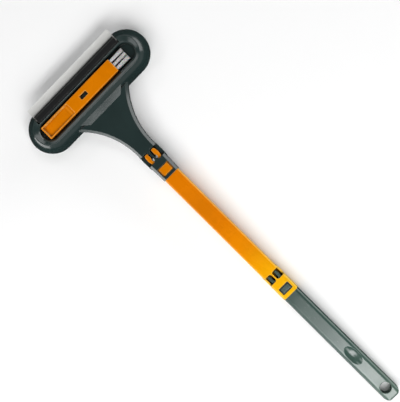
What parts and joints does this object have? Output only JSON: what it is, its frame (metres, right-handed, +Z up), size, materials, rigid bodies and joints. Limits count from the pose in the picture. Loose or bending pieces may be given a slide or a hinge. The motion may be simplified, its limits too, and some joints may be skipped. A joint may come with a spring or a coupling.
{
  "type": "window scrubber",
  "caption": "Window cleaning tool: padded stadium head with a squeegee lip and a docked groove brush, on a flat two-section snap-together handle.",
  "frame": {"origin": "on the floor under the middle of the tool's bounding box, with the tool lying on its scrub pad", "axes": "+Z up out of the front face, +Y from the grip to the squeegee, +X towards the bristle end of the docked brush"},
  "size_m": [0.2, 0.5925, 0.0403],
  "materials": {
    "dark_green_plastic": "moulded, glossy",
    "base_plastic": "moulded, fine grain",
    "screw_steel": "zinc plated",
    "hook_tape": "hook tape",
    "pad_loop": "brushed loop",
    "pad_sponge": "open-cell foam",
    "pad_fabric": "looped microfibre",
    "pad_trim": "woven binding",
    "carrier_black": "extruded",
    "silicone": "translucent, satin",
    "orange_plastic": "moulded, glossy",
    "bristle_nylon": "nylon strands",
    "staple_wire": "flat wire",
    "pole_plastic": "moulded, glossy",
    "grip_plastic": "moulded, satin"
  },
  "bodies": {
    "head": {"head_cover": "dark_green_plastic", "head_base": "base_plastic", "cover_screws": "screw_steel", "hook_sheet": "hook_tape"},
    "pad": {"pad_foam": "pad_sponge", "pad_cloth": "pad_fabric", "pad_backing": "pad_loop", "pad_binding": "pad_trim"},
    "squeegee": {"squeegee_carrier": "carrier_black", "squeegee_clamp": "carrier_black", "squeegee_blade": "silicone"},
    "groove_brush": {"groove_brush_handle": "orange_plastic", "groove_brush_bristles": "bristle_nylon", "tuft_staples": "staple_wire"},
    "pole": {"middle_pole": "pole_plastic", "middle_pole_spigot": "pole_plastic"},
    "pole_button": {"middle_pole_latch": "pole_plastic"},
    "grip": {"grip_handle": "grip_plastic", "grip_spigot": "grip_plastic"},
    "grip_button": {"grip_latch": "grip_plastic"}
  },
  "joints": [
    {"name": "brush_lift", "type": "slide", "parent": "head", "child": "groove_brush", "axis": [0, 0, 1], "range_m": [0, 0.06]},
    {"name": "squeegee_pull", "type": "slide", "parent": "head", "child": "squeegee", "axis": [0, 1, 0], "range_m": [0, 0.025]},
    {"name": "pad_peel", "type": "slide", "parent": "head", "child": "pad", "axis": [0, 0, -1], "range_m": [0, 0.03]},
    {"name": "pole_pull", "type": "slide", "parent": "head", "child": "pole", "axis": [0, -0.9995, -0.0321], "range_m": [0, 0.048], "deforming": ["middle_pole_latch"]},
    {"name": "grip_pull", "type": "slide", "parent": "pole", "child": "grip", "axis": [0, -0.9995, -0.0321], "range_m": [0, 0.044], "deforming": ["grip_latch"]},
    {"name": "pole_button_press", "type": "hinge", "parent": "pole", "child": "pole_button", "pos_m": [0, 0.09313, 0.02407], "axis": [1, 0, 0], "range_deg": [-6.6, 0], "stiffness_Nm_per_rad": 1},
    {"name": "grip_button_press", "type": "hinge", "parent": "grip", "child": "grip_button", "pos_m": [0, -0.12326, 0.01711], "axis": [1, 0, 0], "range_deg": [-3.8, 0], "stiffness_Nm_per_rad": 1}
  ]
}
